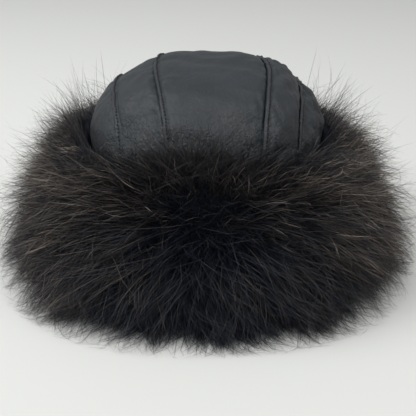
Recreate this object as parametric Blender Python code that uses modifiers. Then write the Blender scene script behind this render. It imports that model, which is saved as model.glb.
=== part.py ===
"""A cossack hat: a domed leather crown of five panels, inside a deep cuff of long fur.

Metres, +Z up. The hat lies on its fur, whose underside is pressed flat at z = 0. The front faces -Y, and
left means the -X side. The origin is on the surface that the hat lies on, below the middle of the crown.

The crown is an oval wall with a rounded dome on it. Four seams run over it from the front rim to the back
rim, two inner and two outer, and part it into a centre panel, two flank panels and two side panels. The fur
cuff is a core of underfur on a straight pelt band round the crown's wall, and every outer face of the core is
drawn out to a lock.
"""

import math
import random

import bmesh
import bpy
import numpy as np

# The crown's leather wall, measured on its outside
CROWN_HALF_WIDTH = 0.091
CROWN_HALF_LENGTH = 0.099
CROWN_TOP = 0.1485
SHOULDER_HEIGHT = 0.070  # where the upright wall begins to round over
RIM_HEIGHT = 0.008
PLAN_POWER = 2.1  # 2 is an ellipse, and more is squarer
DOME_POWER = 2.8
LEATHER_THICKNESS = 0.002
SEAM_GAP = 0.0005
PANEL_PUFF = 0.0016  # how far a panel swells between its seams
PUFF_START_SHARE = 0.25  # the dome's first share above the band, over which the swelling grows

# How far from the middle the seams lie at the crown's top and at its wall, as shares of its half width
INNER_TOP_SHARE, INNER_WALL_SHARE = 0.480, 0.350
OUTER_TOP_SHARE, OUTER_WALL_SHARE = 0.790, 0.690

# The fur cuff
BAND_HEIGHT = 0.096  # the pelt band that the hair grows on
BAND_CLEARANCE = 0.0005  # between the band and the crown's wall
FUR_REACH = 0.070  # how far the longest locks stand out from the wall
CORE_SHARE = 0.62  # how much of each hair's way the packed underfur takes
FUR_PLAN_POWER = 2.4
LOCK_COLUMNS = 56
WAIST_SHARE = 0.64  # width of a lock half way along, of its root's
ARCH_SHARE = 0.08  # how far a lock bows upwards, of its length
SHORTEST_SHARE, LONGEST_SHARE = 0.84, 1.03  # how long a lock may be, of the fur's own length there
SWAY_SHARE = 0.30  # how far a tip strays to the side, of the lock's width
RISE_SHARE = 0.30  # how far it strays up or down, of the lock's height
FLOOR_GAP = 0.001  # the lowest tips end this far above the surface
SEED = 11

# One row for each line where two rings of locks meet, from the bottom to the top. root is the height on the
# band where its hair grows and tip the height that it reaches, as shares of the band; reach is a share of the
# fur's.
FUR_LINES = (
    # root, reach, tip
    (0.08, 0.95, 0.00),
    (0.17, 1.00, 0.07),
    (0.27, 1.00, 0.19),
    (0.37, 0.97, 0.36),
    (0.47, 0.89, 0.56),
    (0.57, 0.77, 0.77),
    (0.67, 0.61, 0.96),
    (0.77, 0.44, 1.11),
    (0.86, 0.28, 1.20),
    (0.93, 0.13, 1.25),
)
FLAT_SHARE = 0.78  # width of the flat underside, as a share of the bottom line's core
INNER_ROWS = 3
FLAT_ROWS = 2

# Fineness of the crown's panels
STEPS_ALONG = 30
CENTRE_STEPS, FLANK_STEPS, SIDE_STEPS = 8, 5, 9
BISECTIONS = 40
SLOPE_STEP = 0.0001
WELD_DISTANCE = 0.00002

LEATHER_COLOUR = (0.033, 0.036, 0.040, 1.0)
FUR_COLOUR = (0.020, 0.016, 0.014, 1.0)

DOME_HEIGHT = CROWN_TOP - SHOULDER_HEIGHT
WALL_LENGTH = SHOULDER_HEIGHT - RIM_HEIGHT
CORNER_SHORTCUT = 0.84  # length of a rounded quarter, as a share of the two sides that it joins
DOME_SHARE = 1 / (1 + WALL_LENGTH / (CORNER_SHORTCUT * (CROWN_HALF_LENGTH + DOME_HEIGHT)))


def clear_scene():
    for obj in list(bpy.data.objects):
        bpy.data.objects.remove(obj)


def make_material(name, colour, roughness, sheen=0.0):
    material = bpy.data.materials.new(name)
    material.use_nodes = True
    shader = material.node_tree.nodes["Principled BSDF"]
    shader.inputs["Base Color"].default_value = colour
    shader.inputs["Roughness"].default_value = roughness
    shader.inputs["Sheen Weight"].default_value = sheen
    shader.inputs["Metallic"].default_value = 0.0
    return material


def make_collection(name):
    collection = bpy.data.collections.new(name)
    bpy.context.scene.collection.children.link(collection)
    return collection


def plan_radius(azimuth, offset, power):
    """Distance from the crown's axis to an oval that lies offset outside the wall. Azimuth 0 is the front."""
    across = np.abs(np.sin(azimuth)) / (CROWN_HALF_WIDTH + offset)
    lengthwise = np.abs(np.cos(azimuth)) / (CROWN_HALF_LENGTH + offset)
    return (across**power + lengthwise**power) ** (-1 / power)


def round_axis(azimuth, radius, height):
    """Points at an azimuth, a distance from the axis and a height."""
    return np.stack([radius * np.sin(azimuth), -radius * np.cos(azimuth), height], axis=-1)


def dome_level(x, y, rise):
    """1 on the crown's outside and less within it. rise is the height above the shoulder."""
    plan = np.abs(x / CROWN_HALF_WIDTH) ** PLAN_POWER + np.abs(y / CROWN_HALF_LENGTH) ** PLAN_POWER
    return plan ** (DOME_POWER / PLAN_POWER) + (np.maximum(rise, 0) / DOME_HEIGHT) ** DOME_POWER


def dome_shrink(height):
    """How much narrower than the wall the crown is at a height, as a share."""
    rise = np.clip((height - SHOULDER_HEIGHT) / DOME_HEIGHT, 0, 1)
    return (1 - rise**DOME_POWER) ** (1 / DOME_POWER)


def crown_point(x, along):
    """The crown's outside at a distance x to the side. along is -1 at the front rim, 0 on top."""
    angle = np.clip(along / DOME_SHARE, -1, 1) * math.pi / 2
    near = np.zeros_like(angle)
    far = np.full_like(angle, 2 * (CROWN_HALF_LENGTH + DOME_HEIGHT))
    for _ in range(BISECTIONS):
        middle = (near + far) / 2
        inside = dome_level(x, middle * np.sin(angle), middle * np.cos(angle)) < 1
        near = np.where(inside, middle, near)
        far = np.where(inside, far, middle)
    down = np.clip((np.abs(along) - DOME_SHARE) / (1 - DOME_SHARE), 0, 1) * WALL_LENGTH
    height = SHOULDER_HEIGHT + near * np.cos(angle) - down
    return np.stack([x, near * np.sin(angle), height], axis=-1)


def outward(points):
    """Unit normals of the crown at these points, from how its level changes in a small step."""
    step = SLOPE_STEP
    x, y, rise = points[:, 0], points[:, 1], points[:, 2] - SHOULDER_HEIGHT
    slope = np.stack(
        [
            dome_level(x + step, y, rise) - dome_level(x - step, y, rise),
            dome_level(x, y + step, rise) - dome_level(x, y - step, rise),
            dome_level(x, y, rise + step) - dome_level(x, y, rise - step),
        ],
        axis=-1,
    )
    return slope / np.linalg.norm(slope, axis=1, keepdims=True)


def seam_half_width(along, top_share, wall_share):
    """How far from the middle a seam lies. It is furthest out at the top and steady down the wall."""
    topness = (1 + np.cos(math.pi * np.clip(np.abs(along) / DOME_SHARE, 0, 1))) / 2
    return CROWN_HALF_WIDTH * (wall_share + (top_share - wall_share) * topness)


def inner_seam(along):
    return seam_half_width(along, INNER_TOP_SHARE, INNER_WALL_SHARE)


def outer_seam(along):
    return seam_half_width(along, OUTER_TOP_SHARE, OUTER_WALL_SHARE)


def puffed(points, across):
    """Swells a panel between its seams, above the fur band. across is 0 at one seam and 1 at the other."""
    above = np.clip((points[:, 2] - BAND_HEIGHT) / (PUFF_START_SHARE * DOME_HEIGHT), 0, 1)
    swell = PANEL_PUFF * above * above * (3 - 2 * above) * 4 * across * (1 - across)
    return points + outward(points) * swell[:, None]


def placed_grid(name, u_steps, v_steps, place):
    """A mesh of u_steps by v_steps faces, with its corners put at place(u, v), where u and v are 0 to 1."""
    mesh = bpy.data.meshes.new(name)
    work = bmesh.new()
    bmesh.ops.create_grid(work, x_segments=u_steps, y_segments=v_steps, size=0.5)
    work.to_mesh(mesh)
    work.free()
    corners = np.empty(len(mesh.vertices) * 3)
    mesh.vertices.foreach_get("co", corners)
    corners = corners.reshape(-1, 3) + 0.5
    mesh.vertices.foreach_set("co", place(corners[:, 0], corners[:, 1]).ravel())
    mesh.update()
    return mesh


def add_leather_panel(collection, material, name, u_steps, v_steps, place):
    panel = bpy.data.objects.new(name, placed_grid(name, u_steps, v_steps, place))
    collection.objects.link(panel)
    wall = panel.modifiers.new("leather", "SOLIDIFY")
    wall.thickness = LEATHER_THICKNESS
    wall.offset = -1.0
    panel.data.materials.append(material)
    panel.data.shade_smooth()
    return panel


def strip_placer(left_edge, right_edge):
    """Places a panel that runs from the front rim to the back rim between two seams."""

    def place(u, v):
        along = 2 * v - 1
        left = left_edge(along) + SEAM_GAP / 2
        right = right_edge(along) - SEAM_GAP / 2
        return puffed(crown_point(left * (1 - u) + right * u, along), u)

    return place


def side_placer(side):
    """Places a side panel, 1 on the right and -1 on the left, from the outer seam down to the rim."""

    def place(u, v):
        along = DOME_SHARE * (2 * u - 1) * side
        top = crown_point(side * (outer_seam(along) + SEAM_GAP / 2), along)
        azimuth = np.arctan2(top[:, 0], -top[:, 1])
        height = RIM_HEIGHT + (top[:, 2] - RIM_HEIGHT) * v
        radius = plan_radius(azimuth, 0, PLAN_POWER) * dome_shrink(height)
        return puffed(round_axis(azimuth, radius, height), (1 - v) / 2)

    return place


def add_crown(collection, leather):
    def left_of_middle(seam):
        return lambda along: -seam(along)

    strips = (
        # name, steps across, left seam, right seam
        ("crown_flank_left", FLANK_STEPS, left_of_middle(outer_seam), left_of_middle(inner_seam)),
        ("crown_centre_panel", CENTRE_STEPS, left_of_middle(inner_seam), inner_seam),
        ("crown_flank_right", FLANK_STEPS, inner_seam, outer_seam),
    )
    for name, steps, left_edge, right_edge in strips:
        add_leather_panel(collection, leather, name, steps, STEPS_ALONG, strip_placer(left_edge, right_edge))
    side_columns = round(STEPS_ALONG * DOME_SHARE)
    for name, side in (("crown_side_left", -1), ("crown_side_right", 1)):
        add_leather_panel(collection, leather, name, side_columns, SIDE_STEPS, side_placer(side))


def fur_point(azimuth, offset, height):
    """A point in the fur. The cuff's plan is oval at the wall and squarer where the fur reaches furthest."""
    share = np.clip(offset / FUR_REACH, 0, 1)
    power = PLAN_POWER + (FUR_PLAN_POWER - PLAN_POWER) * share
    return round_axis(azimuth, plan_radius(azimuth, offset, power), height)


def hair_end(line, share):
    """Offset and height at a share of the way along the hair of a line, or between two, of FUR_LINES."""
    roots, reaches, tips = np.array(FUR_LINES).T
    numbers = np.arange(len(FUR_LINES))
    root = np.interp(line, numbers, roots) * BAND_HEIGHT
    reach = np.interp(line, numbers, reaches) * FUR_REACH
    tip = np.interp(line, numbers, tips) * BAND_HEIGHT
    return reach * share, root + (tip - root) * share


def core_section():
    """The core's outline as offsets and heights: up the outside, down the band, out along the underside."""
    outside = [hair_end(line, CORE_SHARE) for line in range(len(FUR_LINES))]
    outside[0] = (outside[0][0] * FLAT_SHARE, 0.0)
    outside[-1] = (max(outside[-1][0], 2 * BAND_CLEARANCE), outside[-1][1])
    band = [(BAND_CLEARANCE, BAND_HEIGHT * (1 - row / INNER_ROWS)) for row in range(INNER_ROWS + 1)]
    width = outside[0][0] - BAND_CLEARANCE
    underside = [(BAND_CLEARANCE + width * row / FLAT_ROWS, 0.0) for row in range(1, FLAT_ROWS + 1)]
    return np.array(outside + band + underside)


def make_core(name):
    """The ring of underfur, closed, with the row and column of each lock kept on its face."""
    section = core_section()
    sides = len(section) - 1

    def place(u, v):
        offset, height = section[np.rint(v * sides).astype(int)].T
        return fur_point(2 * math.pi * u, offset, height)

    work = bmesh.new()
    work.from_mesh(placed_grid(name, LOCK_COLUMNS, sides, place))
    number = work.faces.layers.int.new("lock")
    for index, face in enumerate(work.faces):
        row = index // LOCK_COLUMNS
        face[number] = index + 1 if row < len(FUR_LINES) - 1 else 0
    bmesh.ops.remove_doubles(work, verts=work.verts, dist=WELD_DISTANCE)
    return work, number


def lock_tip(row, column, strays):
    """Where a lock ends, which mirrors from quarter to quarter of the cuff."""
    step = 2 * math.pi / LOCK_COLUMNS
    azimuth = (column + 0.5) * step
    quarter_column = int(math.asin(abs(math.sin(azimuth))) / step)
    length, aside, higher = strays[row][quarter_column]
    mirror = 1 if math.sin(2 * azimuth) > 0 else -1
    azimuth += mirror * aside * SWAY_SHARE * step
    offset, height = hair_end(row + 0.5 + higher * RISE_SHARE, length)
    return fur_point(np.array(azimuth), np.array(offset), np.array(max(height, FLOOR_GAP)))


def lock_strays():
    """Length, sideways stray and upward stray of every lock of one quarter of the cuff, by row and column."""
    random.seed(SEED)

    def stray():
        return random.uniform(SHORTEST_SHARE, LONGEST_SHARE), random.uniform(-1, 1), random.uniform(-1, 1)

    return [[stray() for _ in range(LOCK_COLUMNS // 4 + 1)] for _ in range(len(FUR_LINES) - 1)]


def add_fur_cuff(collection, material):
    """Draws each outer face of the core out in two steps, to a waist and to a tip."""
    strays = lock_strays()
    work, number = make_core("fur_cuff")
    roots = [face for face in work.faces if face[number]]
    drawn = bmesh.ops.extrude_discrete_faces(work, faces=roots)["faces"]
    tips = {}
    for face in drawn:
        row, column = divmod(face[number] - 1, LOCK_COLUMNS)
        root = face.calc_center_median()
        tip = root.copy()
        tip[:] = lock_tip(row, column, strays)
        waist = root.lerp(tip, 0.5)
        waist.z += ARCH_SHARE * (tip - root).length
        for vert in face.verts:
            vert.co = waist + (vert.co - root) * WAIST_SHARE
            vert.co.z = max(vert.co.z, 0.0)
        tips[face[number]] = tip
    poked = bmesh.ops.poke(work, faces=drawn)["verts"]
    for vert in poked:
        vert.co = tips[vert.link_faces[0][number]]
    mesh = bpy.data.meshes.new("fur_cuff")
    work.to_mesh(mesh)
    work.free()
    mesh.materials.append(material)
    mesh.shade_flat()
    collection.objects.link(bpy.data.objects.new("fur_cuff", mesh))


clear_scene()
hat = make_collection("cossack_hat")
leather = make_material("black_leather", LEATHER_COLOUR, roughness=0.48)
fur = make_material("dark_fur", FUR_COLOUR, roughness=0.85, sheen=0.3)
add_crown(hat, leather)
add_fur_cuff(hat, fur)
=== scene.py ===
"""The looks of a cossack hat: sewn leather panels with lapped seams, inside a deep cuff of long fur.

The hat lies on a pale surface with its front towards the camera. Metres, +Z up. Left means the -X side.
"""

import math

import bpy
import numpy as np
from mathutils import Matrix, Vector


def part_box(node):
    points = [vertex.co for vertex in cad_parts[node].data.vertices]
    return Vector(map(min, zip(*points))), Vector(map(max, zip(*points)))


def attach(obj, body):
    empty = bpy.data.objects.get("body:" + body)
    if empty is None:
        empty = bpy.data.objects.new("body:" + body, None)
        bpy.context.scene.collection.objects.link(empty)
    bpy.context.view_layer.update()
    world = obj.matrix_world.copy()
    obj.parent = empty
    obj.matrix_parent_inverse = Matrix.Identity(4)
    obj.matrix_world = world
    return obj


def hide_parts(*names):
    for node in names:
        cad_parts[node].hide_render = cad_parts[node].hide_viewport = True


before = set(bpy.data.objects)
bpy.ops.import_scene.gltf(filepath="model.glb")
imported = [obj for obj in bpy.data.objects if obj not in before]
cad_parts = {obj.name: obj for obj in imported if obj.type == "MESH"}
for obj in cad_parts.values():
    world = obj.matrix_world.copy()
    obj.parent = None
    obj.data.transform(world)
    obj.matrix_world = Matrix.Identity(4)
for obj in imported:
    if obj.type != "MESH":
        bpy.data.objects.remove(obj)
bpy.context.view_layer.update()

# Sizes that follow the frame
CENTRE_LOW, CENTRE_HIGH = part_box("crown_centre_panel")
CROWN_HALF_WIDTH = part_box("crown_side_right")[1].x
CROWN_HALF_LENGTH = CENTRE_HIGH.y
ARCH_RISE = 0.0016  # how far the solid centre panel is arched above the crown's plain form
CROWN_TOP = CENTRE_HIGH.z - ARCH_RISE
RIM_HEIGHT = CENTRE_LOW.z
FUR_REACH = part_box("fur_cuff")[1].x - CROWN_HALF_WIDTH

# The crown's form
BAND_HEIGHT = 0.096  # top of the pelt that the fur grows on, which goes round the crown's wall
SHOULDER_HEIGHT = 0.070  # where the upright wall begins to round over
PLAN_POWER = 2.1  # 2 is an ellipse, and more is squarer
DOME_POWER = 2.8
DOME_HEIGHT = CROWN_TOP - SHOULDER_HEIGHT
WALL_LENGTH = SHOULDER_HEIGHT - RIM_HEIGHT
CORNER_SHORTCUT = 0.84  # length of a rounded quarter, as a share of the two sides that it joins
DOME_SHARE = 1 / (1 + WALL_LENGTH / (CORNER_SHORTCUT * (CROWN_HALF_LENGTH + DOME_HEIGHT)))
LEATHER_THICKNESS = 0.0016
# How far from the middle a seam lies at the top and at the wall, as shares of the half width, and how far
# to the right of its true place the real hat's is sewn
INNER_SEAM = (0.475, 0.340, 0.0035)
OUTER_SEAM = (0.790, 0.690, 0.0)
# How each panel stands off the crown's plain form: the height of its pillow, the depth of the hollow in its
# middle, how square the pillow is, and the height of its upright creases
PANEL_FORMS = {
    # pillow, hollow, squareness, creases
    "crown_flank_left": (0.0004, 0.0020, 3.0, 0.0002),
    "crown_centre_panel": (0.0050, 0.0054, 4.5, 0.0001),
    "crown_flank_right": (0.0030, 0.0000, 3.0, 0.0007),
    "crown_side_left": (0.0024, 0.0000, 3.0, 0.0003),
    "crown_side_right": (0.0042, 0.0000, 3.0, 0.0016),
}
FLANK_COLUMNS = 34  # points across a flank, and down a side panel
CENTRE_COLUMNS = 54
STRIP_ROWS = 150  # points along a strip, over the dome
SIDE_COLUMNS = 110
RELIEF_START = 0.006  # distance from a seam within which the leather lies taut
# The leather's own relief, each a height and a length
SLOW_SWELLS = (0.0010, 0.045)
FINE_SWELLS = (0.00040, 0.016)
WRINKLES = (0.0004, 0.016)
CREASE_LENGTH = 0.015
# Between which heights, measured from the band's top, each fades
FORM_FADE = (-0.012, 0.014)
SEAM_FADE = (-0.030, -0.010)
WRINKLE_FADE = (0.004, 0.028)
FAR_FROM_SEAM = 0.080  # stands for the other seam's distance on a side panel, which has only one

# A lapped seam, from the seam line towards +X: a turned edge, a raised lap and a row of stitches
TURNED_EDGE = 0.0007
LAP_WIDTH = 0.0027
LAP_RISE = 0.0012
LAP_FALL = (-0.0008, 0.0006)  # where the lap comes down again, measured from its width
TUCK = 0.0018  # how far the lower panel runs on under the lap
EDGE_DIP = 0.0008  # how far the lower panel's edge is pulled down beside the lap
EDGE_DIP_WIDTH = 0.0010
STITCH_LINE = 0.0038
STITCH_PITCH = 0.0030
STITCH_LENGTH = 0.0022
THREAD_RADIUS = 0.00048
THREAD_LIFT = 0.00022  # how far the thread's middle lies above the leather
THREAD_DIVE = 0.0008  # how much lower its ends lie
LOWEST_STITCH = -0.010  # measured from the band's top
STITCH_DENT = 0.0010
STITCH_DENT_WIDTH = 0.0008
PUCKER_RISE = 0.00055  # ripples that the stitching draws up
PUCKER_LENGTH = 0.009
PUCKER_REACH = 0.008

# The fur's form, a row for each line round the cuff, from the bottom to the top. The root and the tip are
# heights as shares of the band's, and the reach is a share of FUR_REACH
FUR_LINES = (
    # root, reach, tip
    (0.08, 0.95, 0.00),
    (0.17, 1.00, 0.07),
    (0.27, 1.00, 0.19),
    (0.37, 0.97, 0.36),
    (0.47, 0.89, 0.56),
    (0.57, 0.77, 0.77),
    (0.67, 0.61, 0.96),
    (0.77, 0.44, 1.11),
    (0.86, 0.28, 1.20),
    (0.93, 0.13, 1.25),
)
FUR_PLAN_POWER = 2.4
SIDE_FLARE = 0.014  # how much further out than in front the cuff's top edge stands at the sides and the back
SIDE_DROP = 0.028  # and how much lower
FLARE_AZIMUTHS = (0.20, 1.20)  # between these angles from the front it comes to that
FLARE_START = 0.84  # lowest height that is moved so, as a share of the band's
FLARE_OFFSET = 0.005  # hair that ends closer than this to the wall is moved less
ROOT_OFFSET = 0.001
CORE_SHARE = 0.50  # how much of each hair's way the dark underfur takes
HAIR_START = 0.38  # hairs are built from here on, just inside the underfur
LOCK_SPACING = 0.0052
TUFT_SIZE = 0.026
LOCK_SPREAD = 0.80  # radius of a lock at its foot, as a share of the spacing
HAIR_WIDTH = 0.00036
# The kinds of hair on the cuff. Rows are pairs of points along a hair before its tip, the shortest and the
# longest are shares of the lock's length, the width is a share of HAIR_WIDTH, and the looser a hair is, the
# less it follows its lock
SHORT_ROWS = 3
LONG_ROWS = 5
HAIR_KINDS = {
    # count, rows, shortest, longest, width, lighter, looseness
    "under hairs": (94000, SHORT_ROWS, 0.60, 0.93, 0.95, 0.00, 1.0),
    "guard hairs": (17000, LONG_ROWS, 0.80, 1.06, 1.20, 0.27, 1.2),
    "stray hairs": (14000, LONG_ROWS, 0.96, 1.32, 0.80, 0.05, 2.6),
}
BAKE_HALF_WIDTH = 0.001  # of a hair's strip in the bake map
LYING_HAIRS = 7000
STANDING_HAIRS = 5000
SHORTEST_STANDING = 0.013
STANDING_RANGE = 0.046  # how much longer than the shortest a standing hair can be
FRONT_TUFT = -0.08  # azimuth of the middle of the hair that stands up in front
TUFT_SPREAD = 0.26
TUFT_WIDTH = 0.38  # the hair stands up highest within this azimuth of the middle
TALL_SHARE = 0.12  # of the standing hairs, the share that rises high at the crown's sides
HAIR_WAVE = 0.0017  # how far a hair strays from its way in waves
LONGEST_HAIR = 1.20  # as a share of the way to the cuff's outside
STRAY_REACH = 0.0092  # how far the longest hairs stand out past the cuff
FLOOR_CLEARANCE = 0.0006
FLOOR_CUSHION = 0.003  # hairs bend within this height, so as to lie on the surface
LEATHER_CLEARANCE = 0.0012
UNDERFUR_CLEARANCE = 0.0014  # from the crown's wall
UNDERFUR_MIDDLE = (0.02, 0.045)  # offset and height that the underfur's lumps stand away from
LUMP_SIZE = 0.012
LUMP_RISE = 0.0016
UNDERSIDE = 0.0030  # height of the underfur's underside. The hairs that lie under it are pressed flat
PARTING_HEIGHT = 0.069  # in front the hairs part round a hollow at this height, and lean away from it
PARTING_LEAN = 0.34  # how far they lean, as a share of their length
PARTING_CORE = 0.018  # the hairs within it hardly lean
PARTING_REACH = 0.110  # where the leaning has died away
PARTING_RADIUS = 0.145  # turns an azimuth into a distance round the cuff
PARTING_SHADE = 0.034  # the hairs within it are darkest, with painted shade
SEED = 5


def rng_for(name):
    """A generator of chance numbers for one piece, so that a change to it leaves the others alone."""
    return np.random.default_rng([SEED, *name.encode()])


def linear(hex_colour):
    """An sRGB hex colour as linear red, green, blue and alpha."""
    parts = np.array([int(hex_colour[i : i + 2], 16) for i in (1, 3, 5)]) / 255
    values = np.where(parts <= 0.04045, parts / 12.92, ((parts + 0.055) / 1.055) ** 2.4)
    return (*values.tolist(), 1.0)


def smooth_step(low, high, value):
    """0 below low, 1 above high, and an S-shaped rise between."""
    t = np.clip((value - low) / (high - low), 0, 1)
    return t * t * (3 - 2 * t)


def soft_noise(points, size, name, waves=10):
    """A smooth random field from about -1 to 1: a sum of sine waves in random directions, size long."""
    chance = rng_for(name)
    directions = chance.normal(size=(waves, 3))
    directions /= np.linalg.norm(directions, axis=1, keepdims=True)
    lengths = size * chance.uniform(0.7, 1.5, waves)
    phases = chance.uniform(0, 2 * math.pi, waves)
    turns = points @ (directions / lengths[:, None]).T * 2 * math.pi + phases
    return np.sin(turns).sum(axis=-1) / math.sqrt(waves)


def mesh_piece(name, points, corner_indices, face_starts, materials, uv=None, smooth=True):
    """A mesh object from whole arrays: points, all faces' corners in a row, and where each face starts."""
    mesh = bpy.data.meshes.new(name)
    mesh.vertices.add(len(points))
    mesh.vertices.foreach_set("co", np.ascontiguousarray(points, np.float32).ravel())
    mesh.loops.add(len(corner_indices))
    mesh.loops.foreach_set("vertex_index", np.ascontiguousarray(corner_indices, np.int32))
    mesh.polygons.add(len(face_starts))
    mesh.polygons.foreach_set("loop_start", np.ascontiguousarray(face_starts, np.int32))
    mesh.update(calc_edges=True)
    if uv is not None:
        layer = mesh.uv_layers.new(name="OFBake")
        layer.uv.foreach_set("vector", np.ascontiguousarray(uv, np.float32).ravel())
    mesh.polygons.foreach_set("use_smooth", np.full(len(face_starts), smooth))
    for material in materials:
        mesh.materials.append(material)
    mesh.validate()
    piece = bpy.data.objects.new(name, mesh)
    bpy.context.scene.collection.objects.link(piece)
    return piece


def quad_piece(name, points, quads, materials):
    """A mesh object from a grid of points and the corners of its quads."""
    return mesh_piece(name, points.reshape(-1, 3), quads.ravel(), np.arange(0, quads.size, 4), materials)


def grid_quads(rows, columns, closed_rows=False, closed_columns=False):
    """Corners of the quads of a grid whose points are listed row by row. A closed side joins its ends."""
    row = np.arange(rows if closed_rows else rows - 1)
    column = np.arange(columns if closed_columns else columns - 1)
    row, column = np.meshgrid(row, column, indexing="ij")
    next_row, next_column = (row + 1) % rows, (column + 1) % columns
    quads = np.stack(
        [row * columns + column, row * columns + next_column, next_row * columns + next_column,
         next_row * columns + column],
        axis=-1,
    )
    return quads.reshape(-1, 4)


# The crown


def plan_radius(azimuth, offset, power):
    """Distance from the crown's axis to an oval that lies offset outside the wall. Azimuth 0 is in front.

    The oval is where the shares of the two half axes, each raised to the power, add up to 1.
    """
    across = np.abs(np.sin(azimuth)) / (CROWN_HALF_WIDTH + offset)
    lengthwise = np.abs(np.cos(azimuth)) / (CROWN_HALF_LENGTH + offset)
    return (across**power + lengthwise**power) ** (-1 / power)


def round_axis(azimuth, radius, height):
    """Points at an azimuth, a distance from the axis and a height."""
    azimuth, radius, height = np.broadcast_arrays(azimuth, radius, height)
    return np.stack([radius * np.sin(azimuth), -radius * np.cos(azimuth), height], axis=-1)


def dome_level(x, y, rise):
    """1 on the crown's outside and less within it. rise is the height above the shoulder."""
    plan = np.abs(x / CROWN_HALF_WIDTH) ** PLAN_POWER + np.abs(y / CROWN_HALF_LENGTH) ** PLAN_POWER
    return plan ** (DOME_POWER / PLAN_POWER) + (np.maximum(rise, 0) / DOME_HEIGHT) ** DOME_POWER


def dome_shrink(height):
    """How much narrower than the wall the crown is at a height, as a share."""
    rise = np.clip((height - SHOULDER_HEIGHT) / DOME_HEIGHT, 0, 1)
    return (1 - rise**DOME_POWER) ** (1 / DOME_POWER)


def crown_point(x, along):
    """The crown's outside at x. along runs from -1 at the front rim over the top to 1 at the back rim.

    A ray from the shoulder's middle leans by along. Where it leaves the dome is found by halving, again and
    again, the stretch that holds the place.
    """
    angle = np.clip(along / DOME_SHARE, -1, 1) * math.pi / 2
    near = np.zeros_like(angle)
    far = np.full_like(angle, 2 * (CROWN_HALF_LENGTH + DOME_HEIGHT))
    for _ in range(40):
        middle = (near + far) / 2
        inside = dome_level(x, middle * np.sin(angle), middle * np.cos(angle)) < 1
        near = np.where(inside, middle, near)
        far = np.where(inside, far, middle)
    down = np.clip((np.abs(along) - DOME_SHARE) / (1 - DOME_SHARE), 0, 1) * WALL_LENGTH
    height = SHOULDER_HEIGHT + near * np.cos(angle) - down
    return np.stack([x, near * np.sin(angle), height], axis=-1)


def outward(points):
    """Unit normals of the crown at these points, from how its level changes in a small step."""
    step = 0.0001
    x, y, rise = points[..., 0], points[..., 1], points[..., 2] - SHOULDER_HEIGHT
    slope = np.stack(
        [
            dome_level(x + step, y, rise) - dome_level(x - step, y, rise),
            dome_level(x, y + step, rise) - dome_level(x, y - step, rise),
            dome_level(x, y, rise + step) - dome_level(x, y, rise - step),
        ],
        axis=-1,
    )
    return slope / np.linalg.norm(slope, axis=-1, keepdims=True)


def seam_x(along, side, seam):
    """x of the seam on one side, -1 or 1. It is furthest out at the top and steady down the wall."""
    at_top, at_wall, shift = seam
    topness = (1 + np.cos(math.pi * np.clip(np.abs(along) / DOME_SHARE, 0, 1))) / 2
    return side * CROWN_HALF_WIDTH * (at_wall + (at_top - at_wall) * topness) + shift


def lap_rise(distance):
    """Height of the upper panel near its seam: a turned edge, a raised lap and a dent along the stitches."""
    turned = np.sqrt(np.clip(1 - (1 - np.clip(distance / TURNED_EDGE, 0, 1)) ** 2, 0, 1))
    lap = LAP_RISE * turned * (1 - smooth_step(LAP_WIDTH + LAP_FALL[0], LAP_WIDTH + LAP_FALL[1], distance))
    dent = STITCH_DENT * np.exp(-(((distance - STITCH_LINE) / STITCH_DENT_WIDTH) ** 2))
    return lap - dent


def edge_dip(distance):
    """Height of the lower panel near the seam: its edge is pulled down under the lap."""
    return -EDGE_DIP * np.exp(-((np.maximum(distance, 0) / EDGE_DIP_WIDTH) ** 2))


def puckers(points, distance):
    """Small ripples that the stitching draws up, which die away from the seam."""
    return PUCKER_RISE * soft_noise(points, PUCKER_LENGTH, "puckers") * np.exp(-distance / PUCKER_REACH)


def above_band(points, fade):
    """0 below and 1 above the two heights of a fade, which are measured from the band's top."""
    return smooth_step(BAND_HEIGHT + fade[0], BAND_HEIGHT + fade[1], points[..., 2])


def leather_relief(points, name):
    """Slow hollows and swells of soft leather, and flat wrinkles where it goes down into the fur."""
    slow = SLOW_SWELLS[0] * soft_noise(points, SLOW_SWELLS[1], name + " slow")
    middle = FINE_SWELLS[0] * soft_noise(points, FINE_SWELLS[1], name + " middle")
    low = 1 - above_band(points, WRINKLE_FADE)
    wrinkles = WRINKLES[0] * low * soft_noise(points * (0.45, 0.45, 1.6), WRINKLES[1], name + " wrinkles")
    return slow + middle + wrinkles


def panel_surface(points, from_left, from_right, name):
    """Lifts a panel off the crown's plain form. from_left and from_right are distances to its seams.

    The lift is a pillow between the seams, less a hollow in its middle, the lap along the left seam, the dip
    along the right one, ripples along both, and the leather's own relief. It fades below the band's top,
    where the fur's pelt holds the leather flat.
    """
    puff, hollow, squareness, crease = PANEL_FORMS[name]
    across = np.minimum(np.abs(2 * from_left / (from_left + from_right) - 1), 1)
    pillow = puff * (1 - across**squareness) - hollow * (1 - across**2)
    nearest = np.minimum(from_left, from_right)
    creases = crease * soft_noise(points * (1.5, 1.5, 0.5), CREASE_LENGTH, name + " creases")
    relief = (leather_relief(points, name) + creases) * smooth_step(0, RELIEF_START, nearest)
    seams = lap_rise(from_left) + edge_dip(from_right) + puckers(points, nearest)
    lift = (pillow + relief) * above_band(points, FORM_FADE) + seams * above_band(points, SEAM_FADE)
    return points + outward(points) * lift[..., None]


def spaced(count, crowding):
    """Numbers from 0 to 1, closer together at both ends: even ones mixed with half a cosine wave."""
    even = np.linspace(0, 1, count)
    return even * (1 - crowding) + crowding * (0.5 - 0.5 * np.cos(math.pi * even))


def along_rows(count):
    """Places along a seam from rim to rim: few down the hidden walls, many over the dome."""
    wall = np.linspace(-1, -DOME_SHARE, 9)[:-1]
    dome = np.linspace(-DOME_SHARE, DOME_SHARE, count)
    return np.concatenate([wall, dome, -wall[::-1]])


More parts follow.
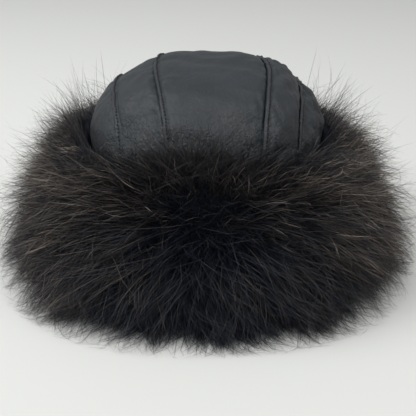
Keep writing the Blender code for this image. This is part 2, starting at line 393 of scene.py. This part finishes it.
def tucked(points):
    """A panel's points with one more column, which runs straight on under the next panel's lap."""
    step = points[:, -1:] - points[:, -2:-1]
    step /= np.linalg.norm(step, axis=-1, keepdims=True)
    return np.concatenate([points, points[:, -1:] + step * TUCK], axis=1)


def reach_along(points):
    """Distance along each row of points from its first point."""
    width = np.linalg.norm(points[:, 1:] - points[:, :-1], axis=-1)
    return np.concatenate([np.zeros((len(points), 1)), np.cumsum(width, axis=1)], axis=1)


def strip_points(left_seam, right_seam, columns, name):
    """A panel from rim to rim between two seams, each given by its side and its row of numbers."""
    along = along_rows(STRIP_ROWS)[:, None]
    share = spaced(columns, 0.85)[None, :]
    left, right = seam_x(along, *left_seam), seam_x(along, *right_seam)
    x = left + (right - left) * share
    points = tucked(crown_point(x, along + 0 * share))
    reach = reach_along(points)
    return panel_surface(points, reach, reach[:, -1:] - TUCK - reach, name)


def side_points(side, name):
    """A side panel, 1 on the right and -1 on the left. Its columns hang from the outer seam to the rim."""
    along = DOME_SHARE * np.linspace(-side, side, SIDE_COLUMNS)[:, None]
    down = (np.linspace(0, 1, FLANK_COLUMNS) ** 1.9)[None, :]
    top = crown_point(seam_x(along, side, OUTER_SEAM), along)
    azimuth = np.arctan2(top[..., 0], -top[..., 1])
    height = top[..., 2] + (RIM_HEIGHT - top[..., 2]) * down
    radius = plan_radius(azimuth, 0, PLAN_POWER) * dome_shrink(height)
    points = round_axis(azimuth + 0 * down, radius, height)
    if side < 0:
        points = tucked(points[:, ::-1])[:, ::-1]
    reach = reach_along(points)
    far = np.full_like(reach, FAR_FROM_SEAM)
    if side > 0:
        return panel_surface(points, reach, far, name)
    return panel_surface(points, far, reach - TUCK, name)


def leather_panel(name, points, materials):
    """A panel as thick as the leather. Its outside and its edges are finished, and its inside is not."""
    piece = quad_piece(name, points, grid_quads(*points.shape[:2]), materials)
    wall = piece.modifiers.new("leather", "SOLIDIFY")
    wall.thickness = LEATHER_THICKNESS
    wall.offset = -1.0
    wall.material_offset = 1
    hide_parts(name)
    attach(piece, "root")


# The stitches


def stitch_line(points):
    """The points of a panel at the stitches' distance from its left seam, row by row."""
    from_left = reach_along(points)
    after = (from_left < STITCH_LINE).sum(axis=1).clip(1, from_left.shape[1] - 1)
    row = np.arange(len(points))
    low, high = from_left[row, after - 1], from_left[row, after]
    share = ((STITCH_LINE - low) / (high - low))[:, None]
    return points[row, after - 1] * (1 - share) + points[row, after] * share


def resampled(line, pitch):
    """Points at an even pitch along a line of points, with the line's direction at each."""
    steps = np.linalg.norm(np.diff(line, axis=0), axis=1)
    reach = np.concatenate([[0], np.cumsum(steps)])
    marks = np.arange(pitch / 2, reach[-1], pitch)
    places = np.stack([np.interp(marks, reach, line[:, axis]) for axis in range(3)], axis=1)
    ahead = np.stack([np.interp(marks + pitch / 4, reach, line[:, axis]) for axis in range(3)], axis=1)
    direction = ahead - places
    return places, direction / np.linalg.norm(direction, axis=1, keepdims=True)


def add_stitches(name, panel, material):
    """A row of stitches along a panel's left seam, each a short round thread that dives in at both ends.

    The square of a stitch's thickness, and its height above the leather, fall with the fourth power of the
    distance from its middle.
    """
    line = stitch_line(panel)
    line = line[line[:, 2] > BAND_HEIGHT + LOWEST_STITCH]
    places, direction = resampled(line, STITCH_PITCH)
    normal = outward(places)
    side = np.cross(direction, normal)
    rings = np.linspace(-1, 1, 5)
    around = np.arange(6) / 6 * 2 * math.pi
    radius = THREAD_RADIUS * np.sqrt(np.clip(1.03 - rings**4, 0, None))
    sink = THREAD_LIFT - THREAD_DIVE * rings**4
    forward = rings * STITCH_LENGTH / 2
    ring_normal = radius[:, None] * np.sin(around) + sink[:, None]
    ring_side = radius[:, None] * np.cos(around)
    points = (
        places[:, None, None]
        + direction[:, None, None] * (forward[:, None] + 0 * around)[..., None]
        + normal[:, None, None] * ring_normal[..., None]
        + side[:, None, None] * ring_side[..., None]
    )
    quads = grid_quads(len(rings), len(around), closed_columns=True)
    sides = len(around)
    caps = np.array([np.arange(sides)[::-1], np.arange(sides) + sides * (len(rings) - 1)])
    count = len(rings) * sides
    shift = np.arange(len(places))[:, None] * count
    all_quads = (quads.ravel()[None] + shift).ravel()
    all_caps = (caps.ravel()[None] + shift).ravel()
    corners = np.concatenate([all_quads, all_caps])
    quad_starts = np.arange(0, len(all_quads), 4)
    cap_starts = len(all_quads) + np.arange(0, len(all_caps), sides)
    starts = np.concatenate([quad_starts, cap_starts])
    piece = mesh_piece(name, points.reshape(-1, 3), corners, starts, [material])
    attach(piece, "root")


# The fur


def fur_point(azimuth, offset, height):
    """A point in the fur. The cuff is oval at the wall, and squarer where the fur reaches furthest."""
    share = np.clip(offset / FUR_REACH, 0, 1)
    power = PLAN_POWER + (FUR_PLAN_POWER - PLAN_POWER) * share
    return round_axis(azimuth, plan_radius(azimuth, offset, power), height)


def flared(azimuth, offset, height):
    """The cuff's upper part stands up in front, and leans away from the crown at the sides and the back."""
    away = smooth_step(*FLARE_AZIMUTHS, np.abs((azimuth + math.pi) % (2 * math.pi) - math.pi))
    top = FUR_LINES[-1][2]
    share = smooth_step(FLARE_START, top, height / BAND_HEIGHT) * np.clip(offset / FLARE_OFFSET, 0, 1) * away
    return offset + SIDE_FLARE * share, height - SIDE_DROP * share


LINE_ROOTS, LINE_REACHES, LINE_TIPS = np.array(FUR_LINES).T
LINE_OFFSETS = LINE_REACHES * FUR_REACH
LINE_HEIGHTS = LINE_TIPS * BAND_HEIGHT
LINE_PLACES = np.concatenate([[0], np.cumsum(np.hypot(np.diff(LINE_OFFSETS), np.diff(LINE_HEIGHTS)))])
SECTION_LENGTH = LINE_PLACES[-1]


def hair_root(place):
    """Height on the band where the hair grows that ends at a place, measured up the cuff's section."""
    return np.interp(place, LINE_PLACES, LINE_ROOTS) * BAND_HEIGHT


def hair_tip(place):
    """Offset and height of the cuff's outside at a place, measured up its section."""
    return np.interp(place, LINE_PLACES, LINE_OFFSETS), np.interp(place, LINE_PLACES, LINE_HEIGHTS)


def hair_axis(azimuth, place):
    """Root, tip and unit directions upwards and to the side of the hair at an azimuth and a place."""
    root = fur_point(azimuth, ROOT_OFFSET + 0 * azimuth, hair_root(place))
    tip = fur_point(azimuth, *flared(azimuth, *hair_tip(place)))
    ahead = tip - root
    ahead /= np.linalg.norm(ahead, axis=-1, keepdims=True)
    side = round_axis(azimuth + math.pi / 2, 1.0, 0.0)
    side -= (side * ahead).sum(axis=-1, keepdims=True) * ahead
    side /= np.linalg.norm(side, axis=-1, keepdims=True)
    up = np.cross(ahead, side)
    up *= np.sign(up[..., 2:3] + 1e-9)
    return root, tip, up, side


def lock_places(chance):
    """Azimuth and place of every lock: rows up the section, evenly filled, with every lock jittered."""
    azimuths, places = [], []
    for place in np.arange(LOCK_SPACING / 2, SECTION_LENGTH, LOCK_SPACING):
        offset, _ = hair_tip(place)
        round_length = 2 * math.pi * (math.sqrt(CROWN_HALF_WIDTH * CROWN_HALF_LENGTH) + offset * 0.85)
        count = int(round_length / LOCK_SPACING)
        turn = (np.arange(count) + chance.uniform()) / count + chance.uniform(-0.35, 0.35, count) / count
        azimuths.append(turn % 1 * 2 * math.pi)
        places.append(place + chance.uniform(-0.4, 0.4, count) * LOCK_SPACING)
    return np.concatenate(azimuths), np.concatenate(places)


def bent_path(azimuth, place, share, bend):
    """Points along hairs at shares of their way: a straight run to the tip, bows and a growing lean.

    bend holds, for each hair and as shares of its length, its lean to the side, its lean upwards, its bow
    upwards and its bow to the side. A bow is a parabola, and a lean grows with the share to the power 1.7.
    """
    root, tip, up, side = hair_axis(azimuth, place)
    full = np.linalg.norm(tip - root, axis=-1)
    t = share[..., None]
    side_lean, up_lean, up_bow, side_bow = (bend * full[:, None]).T[..., None, None]
    bows = (up[:, None] * up_bow + side[:, None] * side_bow) * 4 * t * (1 - t)
    leans = (side[:, None] * side_lean + up[:, None] * up_lean) * t**1.7
    return root[:, None] + (tip - root)[:, None] * t + bows + leans


def kept_clear(points, clearance):
    """Points held above the surface below, outside the crown and, softly, near the cuff's outside."""
    cushion = FLOOR_CUSHION - FLOOR_CLEARANCE
    height = points[..., 2] - FLOOR_CLEARANCE
    height = np.where(height < cushion, cushion * np.exp(np.minimum(height / cushion, 1) - 1), height)
    height = height + FLOOR_CLEARANCE
    azimuth = np.arctan2(points[..., 0], -points[..., 1])
    radius = np.hypot(points[..., 0], points[..., 1])
    wall = plan_radius(azimuth, 0, PLAN_POWER) * dome_shrink(height) + clearance
    radius = np.maximum(radius, np.where(height < CROWN_TOP, wall, 0))
    edge = plan_radius(azimuth, FUR_REACH, FUR_PLAN_POWER)
    beyond = np.maximum(radius - edge, 0)
    radius = np.minimum(radius, edge) + STRAY_REACH * (1 - np.exp(-beyond / STRAY_REACH))
    return round_axis(azimuth, radius, height)


def ribbons(name, paths, widths, tints, chance, material):
    """Flat tapering ribbons along paths, one for each hair, each turned at random round its own way.

    The bake map gives every ribbon a thin upright strip at its tint. So a colour read from the map is the
    same on all hairs of a tint, dark at the foot and lighter to the tip.
    """
    count, rows = paths.shape[:2]
    rows -= 1
    tangent = np.gradient(paths, axis=1)
    tangent /= np.linalg.norm(tangent, axis=-1, keepdims=True)
    aside = chance.normal(size=(count, 1, 3))
    aside = aside - (aside * tangent).sum(axis=-1, keepdims=True) * tangent
    aside /= np.linalg.norm(aside, axis=-1, keepdims=True)
    along = np.arange(rows) / rows
    taper = np.sqrt(1 - along**1.6)
    half = aside[:, :rows] * (widths[:, None] * taper / 2)[..., None]
    pairs = np.stack([paths[:, :rows] - half, paths[:, :rows] + half], axis=2).reshape(count, 2 * rows, 3)
    points = np.concatenate([pairs, paths[:, rows:]], axis=1)
    quads = np.array([[2 * i, 2 * i + 1, 2 * i + 3, 2 * i + 2] for i in range(rows - 1)]).ravel()
    corners = np.concatenate([quads, [2 * rows - 2, 2 * rows - 1, 2 * rows]])
    starts = np.arange(0, len(corners), 4)
    shift = np.arange(count)[:, None]
    all_corners = (corners + shift * (2 * rows + 1)).ravel()
    all_starts = (starts + shift * len(corners)).ravel()
    u = np.tile([-BAKE_HALF_WIDTH, BAKE_HALF_WIDTH], rows).tolist() + [0.0]
    v = np.repeat(along, 2).tolist() + [1.0]
    uv = np.stack([np.array(u)[corners], np.array(v)[corners]], axis=1)
    all_uv = np.repeat(uv[None], count, axis=0)
    all_uv[..., 0] += tints[:, None]
    points, all_uv = points.reshape(-1, 3), all_uv.reshape(-1, 2)
    piece = mesh_piece(name, points, all_corners, all_starts, [material], all_uv)
    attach(piece, "root")


def cuff_locks(chance):
    """The locks' azimuths, places, bends, lengths and tints. In front they lean away from the parting.

    Each is a steady part, soft noise over the places where the locks end, and chance for each lock. The bends
    and lengths are shares of the way from root to tip, and a tint runs from 0, dark, to 1, light.
    """
    azimuth, place = lock_places(chance)
    count = len(azimuth)
    ends = fur_point(azimuth, *hair_tip(place))
    height_share = place / SECTION_LENGTH
    side_waves = 0.10 * soft_noise(ends, 0.060, "fur waves to the side")
    side_tufts = 0.14 * soft_noise(ends, TUFT_SIZE, "fur tufts to the side")
    side_lean = side_waves + side_tufts + chance.normal(0, 0.15, count)
    up_waves = 0.06 * soft_noise(ends, 0.055, "fur waves upwards")
    up_tufts = 0.08 * soft_noise(ends, TUFT_SIZE, "fur tufts upwards")
    up_lean = up_waves + up_tufts + chance.normal(0, 0.08, count) - 0.03
    up_bow = 0.100 - 0.075 * height_share + chance.normal(0, 0.030, count)
    side_bow = chance.normal(0, 0.105, count)
    length = 0.96 + chance.uniform(-0.18, 0.08, count)
    length += 0.045 * soft_noise(ends, 0.024, "fur length") + 0.045 * soft_noise(ends, 0.050, "tuft length")

    from_front = (azimuth + math.pi) % (2 * math.pi) - math.pi
    aside, above = from_front * PARTING_RADIUS, ends[:, 2] - PARTING_HEIGHT
    distance = np.hypot(aside, above) + 1e-6
    past_core = 1 - np.exp(-((distance / PARTING_CORE) ** 2))
    combed = PARTING_LEAN * past_core * np.exp(-((distance / PARTING_REACH) ** 2))
    side_lean += combed * aside / distance
    up_lean += combed * above / distance

    # Painted shade: darker in front and darkest in the parting, where one looks down into the fur's shadowed
    # depths
    tint = 0.44 - 0.14 * np.exp(-((from_front / 0.60) ** 2))
    tint = tint - 0.26 * np.exp(-((distance / PARTING_SHADE) ** 2))
    # Painted shade: darker low down, and most of all low down in front, where the fur is turned away from the
    # lights. Darker at the top edge too
    tint -= 0.26 * np.exp(-place / 0.048) + 0.20 * smooth_step(0.72, 1.0, height_share)
    tint -= 0.34 * np.exp(-place / 0.080 - (from_front / 0.62) ** 2)
    # A little lighter on the right
    tint += 0.05 * smooth_step(0.3, 1.0, from_front)
    tint += 0.16 * soft_noise(ends, 0.036, "fur tint") + 0.10 * soft_noise(ends, 0.016, "lock tint")
    tint += chance.normal(0, 0.11, count)
    return azimuth, place, np.stack([side_lean, up_lean, up_bow, side_bow], axis=1), length, tint


def cuff_hairs(kind, locks):
    """Paths, widths and tints of one kind of the cuff's hairs. Each has its own foot and joins its lock."""
    chance = rng_for(kind)
    count, rows, shortest, longest, width, lighter, loose = HAIR_KINDS[kind]
    lock_azimuth, lock_place, lock_bend, lock_length, lock_tint = locks
    # More hairs grow low down, and they are longer there
    density = 1.0 + 0.7 * np.exp(-lock_place / 0.020)
    own = chance.choice(len(lock_place), count, p=density / density.sum())
    turn = chance.uniform(0, 2 * math.pi, count)
    out = np.sqrt(chance.uniform(0, 1, count)) * LOCK_SPREAD * LOCK_SPACING
    offset, _ = hair_tip(lock_place[own])
    local_radius = math.sqrt(CROWN_HALF_WIDTH * CROWN_HALF_LENGTH) + offset
    azimuth = lock_azimuth[own] + out * np.cos(turn) / local_radius
    place = np.clip(lock_place[own] + out * np.sin(turn), 0, SECTION_LENGTH)

    stretch = chance.uniform(shortest, longest, count) + 0.22 * np.exp(-place / 0.018) / loose**2
    end = np.minimum(lock_length[own] * stretch, LONGEST_HAIR)
    t = HAIR_START + (end[:, None] - HAIR_START) * np.linspace(0, 1, rows + 1)
    bend = lock_bend[own] + chance.normal(0, 1, (count, 4)) * (0.09, 0.08, 0.03, 0.06) * loose
    free = bent_path(azimuth, place, t, bend)
    guide = bent_path(lock_azimuth[own], lock_place[own], t, lock_bend[own])
    # Nearly half of the hairs cling to their lock, and the rest follow it loosely
    bound = chance.uniform(size=count) < 0.45
    pull = np.where(bound, chance.uniform(0.6, 0.95, count), chance.uniform(0.1, 0.5, count)) / loose**2
    paths = free + (guide - free) * (pull[:, None] * smooth_step(HAIR_START, 1.0, t))[..., None]

    waves = np.sin(chance.uniform(0, 2 * math.pi, (count, 1)) + t * chance.uniform(4, 10, (count, 1)))
    paths += chance.normal(size=(count, 1, 3)) * (waves * t * HAIR_WAVE * loose**0.8)[..., None]
    widths = HAIR_WIDTH * width * chance.uniform(0.7, 1.2, count)
    tints = lock_tint[own] + chance.normal(0, 0.13, count) + lighter
    return paths, widths, tints


def standing_hairs(chance):
    """Paths, widths and tints of loose hairs that stand up round the crown. The longer, the fewer."""
    count = STANDING_HAIRS
    azimuth = chance.uniform(-math.pi, math.pi, count)
    in_tuft = chance.uniform(size=count) < 0.42
    azimuth = np.where(in_tuft, chance.normal(FRONT_TUFT, TUFT_SPREAD, count), azimuth)
    front = np.exp(-(((azimuth - FRONT_TUFT) / TUFT_WIDTH) ** 2))
    long = STANDING_RANGE * chance.beta(2.2, 2.2, count)
    short = STANDING_RANGE * chance.beta(1.0, 4.2, count)
    length = SHORTEST_STANDING + short + (long - short) * front
    rise = np.radians(chance.uniform(30, 74, count) + chance.uniform(14, 28, count) * front)
    # A few rise high beside the crown, more of them on the left
    tall = chance.uniform(size=count) < TALL_SHARE
    side = np.where(chance.uniform(size=count) < 0.6, -1, 1)
    azimuth = np.where(tall, side * chance.normal(1.50, 0.34, count), azimuth)
    length = np.where(tall, chance.uniform(0.026, 0.054, count), length)
    rise = np.where(tall, np.radians(chance.uniform(42, 80, count) - 6 * side), rise)
    root = BAND_HEIGHT * (chance.uniform(0.64, 0.88, count) + 0.17 * front)
    first_offset = chance.uniform(0.002, 0.012, count)
    t = np.linspace(0, 1, LONG_ROWS + 1)[None, :]
    offset = first_offset[:, None] + (length * np.cos(rise))[:, None] * t**1.3
    height = root[:, None] + (length * np.sin(rise))[:, None] * t
    aside = chance.normal(0, 0.35, count) * length / CROWN_HALF_WIDTH
    paths = fur_point(azimuth[:, None] + aside[:, None] * t**1.4, offset, height)
    widths = HAIR_WIDTH * chance.uniform(0.55, 0.95, count)
    # Painted shade: the standing hairs are darker in front, as the cuff's locks are
    tints = 0.42 - 0.09 * front + chance.normal(0, 0.14, count)
    return paths, widths, tints


def lying_hairs(chance):
    """Paths, widths and tints of the hairs under the cuff, pressed flat outwards by the hat's weight."""
    count = LYING_HAIRS
    t = np.linspace(0, 1, SHORT_ROWS + 1)[None, :]
    azimuth = chance.uniform(-math.pi, math.pi, count)[:, None]
    first = FUR_REACH * CORE_SHARE * np.sqrt(chance.uniform(0, 1, count))[:, None]
    length = chance.uniform(0.014, 0.034, count)[:, None]
    tufts = 0.25 * soft_noise(round_axis(azimuth, 0.1, 0.0), 0.03, "lying")
    lean = chance.normal(0, 0.32, count)[:, None] + tufts
    height = chance.uniform(0, 0.0012, count)[:, None] * np.cos(t * 3)
    paths = fur_point(azimuth + lean * length * t**1.3 / CROWN_HALF_WIDTH, first + length * t, height)
    widths = HAIR_WIDTH * chance.uniform(0.8, 1.3, count)
    return paths, widths, chance.normal(0.32, 0.14, count)


def add_fur(material):
    """The hairs, short and long, each in five pieces by the side that they grow on."""
    locks = cuff_locks(rng_for("cuff locks"))
    kinds = {
        "fur_short_hair_": (cuff_hairs("under hairs", locks), lying_hairs(rng_for("lying hairs"))),
        "fur_long_hair_": (
            cuff_hairs("guard hairs", locks),
            cuff_hairs("stray hairs", locks),
            standing_hairs(rng_for("standing hairs")),
        ),
    }
    sides = ("front", "right", "back_right", "back_left", "left")
    for label, hairs in kinds.items():
        paths, widths, tints = (np.concatenate(values) for values in zip(*hairs))
        paths = kept_clear(paths, LEATHER_CLEARANCE)
        tints = np.clip(tints, 0.02, 0.98)
        azimuth = np.arctan2(paths[:, 0, 0], -paths[:, 0, 1]) % (2 * math.pi)
        sector = ((azimuth / (2 * math.pi) * len(sides) + 0.5) % len(sides)).astype(int)
        for number, side in enumerate(sides):
            name = label + side
            chosen = sector == number
            ribbons(name, paths[chosen], widths[chosen], tints[chosen], rng_for(name), material)


def add_underfur(material):
    """The dense dark underfur that the hairs stand in: a closed ring round the crown's wall.

    Its outside takes the hairs' way from root to tip as far as CORE_SHARE, and soft lumps stand on it.
    """
    around, up = 220, 44
    place = np.linspace(0, SECTION_LENGTH, up)
    offset, height = hair_tip(place)
    root = hair_root(place)
    offset, height = offset * CORE_SHARE, root + (height - root) * CORE_SHARE
    height[0] = UNDERSIDE
    wall = UNDERFUR_CLEARANCE
    band_heights = np.linspace(BAND_HEIGHT * 1.02, UNDERSIDE, 6)
    offset = np.concatenate([offset, np.full(6, wall), np.linspace(wall, offset[0], 5)[1:-1]])
    height = np.concatenate([height, band_heights, np.full(3, UNDERSIDE)])
    offset[up - 1] = max(offset[up - 1], wall)
    azimuth = np.arange(around) / around * 2 * math.pi
    offset, height = flared(azimuth[None, :], offset[:, None], height[:, None])
    points = fur_point(azimuth[None, :], offset, height)
    lumps = soft_noise(points, LUMP_SIZE, "underfur") * LUMP_RISE
    lumps[0] = lumps[up - 1 :] = 0
    middle_offset, middle_height = UNDERFUR_MIDDLE
    away = points - round_axis(azimuth, plan_radius(azimuth, middle_offset, PLAN_POWER), middle_height)
    away /= np.linalg.norm(away, axis=-1, keepdims=True)
    points = points + away * lumps[..., None]
    quads = grid_quads(len(points), around, closed_rows=True, closed_columns=True)
    piece = quad_piece("underfur", points, quads, [material])
    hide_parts("fur_cuff")
    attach(piece, "root")


# Materials


def new_material(name):
    """A material, its node tree and its shader."""
    material = bpy.data.materials.new(name)
    material.use_nodes = True
    return material, material.node_tree, material.node_tree.nodes["Principled BSDF"]


def add_node(tree, kind, settings=None, **links):
    """Adds a node, sets its properties or its inputs' values, and links its inputs to others' outputs."""
    node = tree.nodes.new(kind)
    for name, value in (settings or {}).items():
        if name in node.inputs:
            node.inputs[name].default_value = value
        else:
            setattr(node, name, value)
    for name, output in links.items():
        tree.links.new(output, node.inputs[name])
    return node


def own_place(tree):
    """The place of a point in its piece's own coordinates."""
    return add_node(tree, "ShaderNodeTexCoord").outputs["Object"]


def noise_value(tree, spot, **settings):
    """A noise texture's value from 0 to 1 at a spot."""
    return add_node(tree, "ShaderNodeTexNoise", settings, Vector=spot).outputs["Fac"]


def mapped(tree, value, low, high, to_low=0.0, to_high=1.0):
    """A value from the range low to high, turned into one from to_low to to_high and held there."""
    settings = {"From Min": low, "From Max": high, "To Min": to_low, "To Max": to_high}
    return add_node(tree, "ShaderNodeMapRange", settings, Value=value).outputs["Result"]


def bumped(tree, height, *, distance, strength, **links):
    """The surface's direction where a height from 0 to 1 stands out by a distance."""
    settings = {"Distance": distance, "Strength": strength}
    return add_node(tree, "ShaderNodeBump", settings, Height=height, **links).outputs["Normal"]


def set_ramp(node, stops):
    """Gives a colour ramp its stops, as pairs of a place and a hex colour."""
    elements = node.color_ramp.elements
    while len(elements) < len(stops):
        elements.new(0.5)
    for element, (place, colour) in zip(elements, stops):
        element.position = place
        element.color = linear(colour)


def ramp_colour(tree, value, stops):
    """The colour of a ramp at a value."""
    ramp = add_node(tree, "ShaderNodeValToRGB", Fac=value)
    set_ramp(ramp, stops)
    return ramp.outputs["Color"]


def finish_shader(tree, shader, *, roughness, specular, **links):
    """Sets how rough and how reflective a shader is, and links its Base Color and its Normal."""
    shader.inputs["Roughness"].default_value = roughness
    shader.inputs["Specular IOR Level"].default_value = specular
    for name, output in links.items():
        tree.links.new(output, shader.inputs[name.replace("_", " ")])


def fur_hair_material():
    """Dyed long-haired fur, fox or raccoon: smooth, near black at the foot and brown-grey at the tips. Darker
    tints in front, in the parting and low down are painted shade.
    """
    material, tree, shader = new_material("long_dyed_fur_hair")
    uv = add_node(tree, "ShaderNodeUVMap", {"uv_map": "OFBake"})
    parts = add_node(tree, "ShaderNodeSeparateXYZ", Vector=uv.outputs["UV"])
    tints = [(0.0, "#0a1120"), (0.25, "#222326"), (0.45, "#403b37"), (0.65, "#5f554e"), (1.0, "#aca093")]
    mix = add_node(tree, "ShaderNodeMix", {"data_type": "RGBA"})
    tree.links.new(mapped(tree, parts.outputs["Y"], 0.05, 0.85), mix.inputs["Factor"])
    # Inputs 6 and 7 and output 2 are the mix node's two colours and its result
    mix.inputs[6].default_value = linear("#0a111f")
    tree.links.new(ramp_colour(tree, parts.outputs["X"], tints), mix.inputs[7])
    finish_shader(tree, shader, roughness=0.52, specular=0.32, Base_Color=mix.outputs[2])
    shader.inputs["IOR"].default_value = 1.55
    return material


def underfur_material():
    """Packed underwool, which swallows light: rough and almost black."""
    material, tree, shader = new_material("dense_underwool")
    tufts = noise_value(tree, own_place(tree), Scale=420.0, Detail=6.0)
    colour = ramp_colour(tree, tufts, [(0.35, "#080b13"), (0.75, "#15181f")])
    normal = bumped(tree, tufts, distance=0.0015, strength=0.8)
    finish_shader(tree, shader, roughness=0.95, specular=0.15, Base_Color=colour, Normal=normal)
    return material


def leather_material():
    """Black lambskin, drum dyed and lightly finished: an even soft shine, a fine grain and faint mottling."""
    material, tree, shader = new_material("black_lambskin")
    spot = own_place(tree)
    mottle = noise_value(tree, spot, Scale=45.0, Detail=5.0, Roughness=0.6)
    colour = ramp_colour(tree, mottle, [(0.30, "#161a1e"), (0.70, "#1f252a")])
    # Near the fur the leather is handled most: it is creased finely there and rubbed to a shine
    height = add_node(tree, "ShaderNodeSeparateXYZ", Vector=spot).outputs["Z"]
    worn = mapped(tree, height, 0.138, 0.106, 0.25, 1.0)
    matt = mapped(tree, mottle, 0.3, 0.7, 0.53, 0.66)
    rubbed = add_node(tree, "ShaderNodeMath", {"operation": "MULTIPLY"})
    tree.links.new(worn, rubbed.inputs[0])
    rubbed.inputs[1].default_value = 0.12
    shine = add_node(tree, "ShaderNodeMath", {"operation": "SUBTRACT"})
    tree.links.new(matt, shine.inputs[0])
    tree.links.new(rubbed.outputs["Value"], shine.inputs[1])
    # Real lambskin grain is about 0.4 mm across. It is drawn at 1.1 mm, so that it shows at all
    cells = {"Scale": 900.0, "feature": "DISTANCE_TO_EDGE"}
    grain = add_node(tree, "ShaderNodeTexVoronoi", cells, Vector=spot)
    lines = mapped(tree, grain.outputs["Distance"], 0.0, 0.18)
    normal = bumped(tree, lines, distance=0.0002, strength=0.25)
    crinkle = noise_value(tree, spot, Scale=330.0, Detail=3.0, Distortion=1.2)
    normal = bumped(tree, crinkle, distance=0.0018, strength=1.0, Strength=worn, Normal=normal)
    creases = noise_value(tree, spot, Scale=120.0, Detail=4.0, Distortion=0.6)
    normal = bumped(tree, creases, distance=0.0020, strength=0.5, Normal=normal)
    finish_shader(tree, shader, roughness=0.5, specular=0.45, Base_Color=colour, Normal=normal)
    tree.links.new(shine.outputs["Value"], shader.inputs["Roughness"])
    return material


def flesh_side_material():
    """The leather's unfinished inner side, like fine grey suede."""
    material, tree, shader = new_material("lambskin_flesh_side")
    nap = noise_value(tree, own_place(tree), Scale=700.0, Detail=6.0)
    colour = ramp_colour(tree, nap, [(0.3, "#2c2b2b"), (0.7, "#413f3e")])
    normal = bumped(tree, nap, distance=0.0003, strength=0.5)
    finish_shader(tree, shader, roughness=0.92, specular=0.5, Base_Color=colour, Normal=normal)
    return material


def thread_material():
    """Black bonded sewing thread, with a slight shine."""
    material, tree, shader = new_material("black_sewing_thread")
    twist = noise_value(tree, own_place(tree), Scale=2500.0)
    colour = ramp_colour(tree, twist, [(0.3, "#070708"), (0.7, "#121213")])
    finish_shader(tree, shader, roughness=0.60, specular=0.25, Base_Color=colour)
    return material


# Assembling the crown


def add_crown():
    """The five panels. A panel that lies over its left neighbour has a row of stitches along that seam."""
    faces = [leather_material(), flesh_side_material()]
    thread = thread_material()
    strips = (
        # name, left seam, right seam, columns, stitches
        ("crown_flank_left", (-1, OUTER_SEAM), (-1, INNER_SEAM), FLANK_COLUMNS, "stitches_outer_left"),
        ("crown_centre_panel", (-1, INNER_SEAM), (1, INNER_SEAM), CENTRE_COLUMNS, "stitches_inner_left"),
        ("crown_flank_right", (1, INNER_SEAM), (1, OUTER_SEAM), FLANK_COLUMNS, "stitches_inner_right"),
    )
    for name, left_seam, right_seam, columns, stitch_name in strips:
        points = strip_points(left_seam, right_seam, columns, name)
        leather_panel(name, points, faces)
        add_stitches(stitch_name, points, thread)
    leather_panel("crown_side_left", side_points(-1, "crown_side_left"), faces)
    points = side_points(1, "crown_side_right")
    leather_panel("crown_side_right", points, faces)
    add_stitches("stitches_outer_right", points, thread)


# Camera, floor and light

LOOK_POINT = Vector((0.0015, -0.0159, 0.0307))
CAMERA_PLACE = Vector((-0.0151, -0.5746, 0.3023))
LENS_MM = 65.8
FLOOR_HALF = 6.0
FLOOR_HEIGHT = -0.0004
LIGHT_TARGET = (0, 0, 0.08)


def add_camera():
    """The camera, in front of the hat and above it."""
    data = bpy.data.cameras.new("camera")
    data.sensor_width = 36.0
    data.lens = LENS_MM
    data.clip_start = 0.05
    camera = bpy.data.objects.new("camera", data)
    bpy.context.scene.collection.objects.link(camera)
    camera.location = CAMERA_PLACE
    camera.rotation_euler = (LOOK_POINT - CAMERA_PLACE).to_track_quat("-Z", "Y").to_euler()
    bpy.context.scene.camera = camera


def add_floor():
    """A wide pale sheet that runs out of sight on every side."""
    corners = ((-1, -1), (1, -1), (1, 1), (-1, 1))
    points = np.array([(FLOOR_HALF * x, FLOOR_HALF * y, FLOOR_HEIGHT) for x, y in corners])
    material, _, shader = new_material("matt_white_paper")
    shader.inputs["Base Color"].default_value = linear("#cececa")
    shader.inputs["Roughness"].default_value = 0.9
    shader.inputs["Specular IOR Level"].default_value = 0.2
    mesh_piece("floor", points, np.arange(4), np.array([0]), [material], smooth=False)


def add_light(name, place, size, watts, colour="#ffffff"):
    """A round soft light that shines on the hat."""
    data = bpy.data.lights.new(name, "AREA")
    data.shape = "DISK"
    data.size = size
    data.energy = watts
    data.color = linear(colour)[:3]
    light = bpy.data.objects.new(name, data)
    bpy.context.scene.collection.objects.link(light)
    light.location = Vector(place)
    light.rotation_euler = (Vector(LIGHT_TARGET) - Vector(place)).to_track_quat("-Z", "Y").to_euler()


def add_lights():
    """Pale light from all round, a window on the left and a smaller light above the front."""
    world = bpy.data.worlds.new("soft studio")
    bpy.context.scene.world = world
    world.use_nodes = True
    sky = world.node_tree.nodes["Background"]
    sky.inputs["Color"].default_value = linear("#f4f6f8")
    sky.inputs["Strength"].default_value = 0.55
    add_light("window", (-1.18, -0.12, 1.50), size=1.3, watts=24, colour="#fbfdff")
    add_light("top", (0.32, -0.45, 1.56), size=1.4, watts=13)
    bpy.context.scene.view_settings.view_transform = "Standard"


add_camera()
add_crown()
add_underfur(underfur_material())
add_fur(fur_hair_material())
add_floor()
add_lights()
